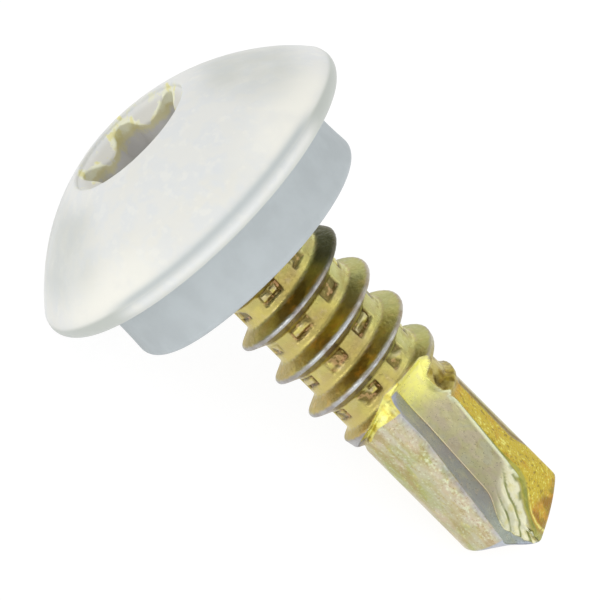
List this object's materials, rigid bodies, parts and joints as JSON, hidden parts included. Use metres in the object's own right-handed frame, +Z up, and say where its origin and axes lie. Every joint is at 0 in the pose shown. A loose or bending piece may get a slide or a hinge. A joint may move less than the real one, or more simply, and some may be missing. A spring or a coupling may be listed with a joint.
{
  "type": "self-drilling screw",
  "caption": "Self-drilling sheet-metal screw with a low domed six-lobe head, a right-hand thread, a fluted drill point and a rubber sealing washer seated under the head.",
  "frame": {"origin": "centre of the bounding box, on the floor that the screw lies on", "axes": "+Z up from the floor, +X from the head towards the drill point; the screw's own axis slopes 18 degrees down towards +X, from the head's rim to the point"},
  "size_m": [0.0196, 0.0126, 0.0121],
  "materials": {
    "zinc_steel": "yellow passivated zinc, satin",
    "head_paint": "warm white powder coat, satin",
    "grey_rubber": "light grey, matt"
  },
  "bodies": {
    "root": {"screw": "zinc_steel", "sealing_washer": "grey_rubber"}
  },
  "joints": []
}
